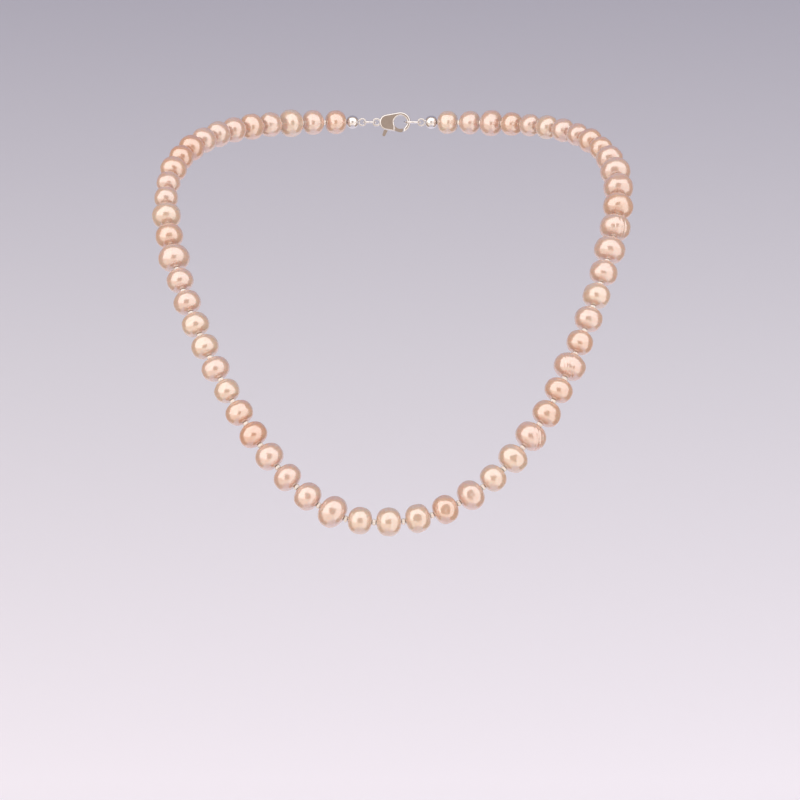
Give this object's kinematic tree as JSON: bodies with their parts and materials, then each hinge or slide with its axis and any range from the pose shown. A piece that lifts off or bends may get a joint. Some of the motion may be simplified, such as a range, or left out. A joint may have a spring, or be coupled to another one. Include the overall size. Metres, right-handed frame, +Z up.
{
  "type": "pearl necklace",
  "caption": "Single-strand pearl necklace with small clear seed beads between the pearls and a lobster clasp at the nape, shown in its worn curve.",
  "frame": {"origin": "centre of the neck opening, level with the pearls at the nape", "axes": "+Z up through the neck opening, -Y to the front of the wearer, +X to the right seen from the front"},
  "size_m": [0.13, 0.1253, 0.1082],
  "materials": {
    "pearl": "peach nacre with a soft pearly lustre",
    "seed_bead": "clear to milky glass, fire polished",
    "thread": "twisted white beading silk",
    "plated_metal": "polished silver-coloured plating"
  },
  "bodies": {
    "nape": {"nape_pearls": "pearl", "nape_seed_beads": "seed_bead", "nape_thread": "thread", "left_bead_tip": "plated_metal", "right_bead_tip": "plated_metal"},
    "row_10": {"row_10_pearls": "pearl", "row_10_seed_beads": "seed_bead", "row_10_thread": "thread"},
    "row_09": {"row_09_pearls": "pearl", "row_09_seed_beads": "seed_bead", "row_09_thread": "thread"},
    "row_08": {"row_08_pearls": "pearl", "row_08_seed_beads": "seed_bead", "row_08_thread": "thread"},
    "row_07": {"row_07_pearls": "pearl", "row_07_seed_beads": "seed_bead", "row_07_thread": "thread"},
    "row_06": {"row_06_pearls": "pearl", "row_06_seed_beads": "seed_bead", "row_06_thread": "thread"},
    "row_05": {"row_05_pearls": "pearl", "row_05_seed_beads": "seed_bead", "row_05_thread": "thread"},
    "row_04": {"row_04_pearls": "pearl", "row_04_seed_beads": "seed_bead", "row_04_thread": "thread"},
    "row_03": {"row_03_pearls": "pearl", "row_03_seed_beads": "seed_bead", "row_03_thread": "thread"},
    "row_02": {"row_02_pearls": "pearl", "row_02_seed_beads": "seed_bead", "row_02_thread": "thread"},
    "row_01": {"row_01_pearls": "pearl", "row_01_seed_beads": "seed_bead", "row_01_thread": "thread"},
    "front": {"front_pearls": "pearl", "front_seed_beads": "seed_bead", "front_thread": "thread"},
    "jump_ring": {"jump_ring": "plated_metal"},
    "clasp": {"clasp_casing": "plated_metal", "clasp_rivet": "plated_metal", "clasp_spring": "plated_metal"},
    "clasp_lever": {"clasp_lever": "plated_metal"},
    "end_ring": {"end_ring": "plated_metal"}
  },
  "joints": [
    {"name": "row_10_drape", "type": "hinge", "parent": "nape", "child": "row_10", "pos_m": [-0.00055, 0.03499, -0.00272], "axis": [-0.9997, -0.0216, -0.0097], "range_deg": [0, 8]},
    {"name": "row_09_drape", "type": "hinge", "parent": "row_10", "child": "row_09", "pos_m": [-0.00043, 0.02294, -0.00573], "axis": [-0.9995, -0.0251, -0.0165], "range_deg": [0, 8]},
    {"name": "row_08_drape", "type": "hinge", "parent": "row_09", "child": "row_08", "pos_m": [-0.00018, 0.01041, -0.01059], "axis": [-0.9994, -0.0259, -0.0231], "range_deg": [0, 8]},
    {"name": "row_07_drape", "type": "hinge", "parent": "row_08", "child": "row_07", "pos_m": [0.00007, -0.0021, -0.01785], "axis": [-0.9996, -0.018, -0.0236], "range_deg": [0, 8]},
    {"name": "row_06_drape", "type": "hinge", "parent": "row_07", "child": "row_06", "pos_m": [0.00008, -0.01317, -0.02751], "axis": [-0.9997, -0.0116, -0.0195], "range_deg": [0, 8]},
    {"name": "row_05_drape", "type": "hinge", "parent": "row_06", "child": "row_05", "pos_m": [0.00002, -0.02257, -0.03885], "axis": [-0.9998, -0.0113, -0.0183], "range_deg": [0, 8]},
    {"name": "row_04_drape", "type": "hinge", "parent": "row_05", "child": "row_04", "pos_m": [0, -0.0303, -0.05011], "axis": [-0.9999, -0.0076, -0.0146], "range_deg": [0, 8]},
    {"name": "row_03_drape", "type": "hinge", "parent": "row_04", "child": "row_03", "pos_m": [0.00021, -0.03734, -0.06132], "axis": [-0.9999, -0.0048, -0.0096], "range_deg": [0, 8]},
    {"name": "row_02_drape", "type": "hinge", "parent": "row_03", "child": "row_02", "pos_m": [0.00029, -0.04387, -0.07237], "axis": [-1, -0.0007, -0.001], "range_deg": [0, 8]},
    {"name": "row_01_drape", "type": "hinge", "parent": "row_02", "child": "row_01", "pos_m": [-0.00005, -0.04971, -0.08313], "axis": [-1, 0.0053, 0.008], "range_deg": [0, 8]},
    {"name": "front_drape", "type": "hinge", "parent": "row_01", "child": "front", "pos_m": [-0.00048, -0.05425, -0.09275], "axis": [-1, 0.0079, -0.0014], "range_deg": [0, 8]},
    {"name": "clasp_roll", "type": "hinge", "parent": "nape", "child": "clasp", "pos_m": [-0.00036, 0.06089, -0.00003], "axis": [1, 0.009, -0.0017], "range_deg": [-30, 30]},
    {"name": "jump_ring_roll", "type": "hinge", "parent": "nape", "child": "jump_ring", "pos_m": [-0.00036, 0.06089, -0.00003], "axis": [1, 0.009, -0.0017], "range_deg": [-15, 15]},
    {"name": "end_ring_roll", "type": "hinge", "parent": "nape", "child": "end_ring", "pos_m": [-0.00036, 0.06089, -0.00003], "axis": [1, 0.009, -0.0017], "range_deg": [-15, 15]},
    {"name": "lever_pull", "type": "hinge", "parent": "clasp", "child": "clasp_lever", "pos_m": [-0.00177, 0.06088, -0.00133], "axis": [0.009, -1, 0], "range_deg": [0, 25], "stiffness_Nm_per_rad": 0.00005, "springref_deg": -28.65}
  ],
  "couplings": [
    {"joint": "jump_ring_roll", "follows": "clasp_roll", "ratio": 0.5},
    {"joint": "end_ring_roll", "follows": "clasp_roll", "ratio": 0.5}
  ]
}
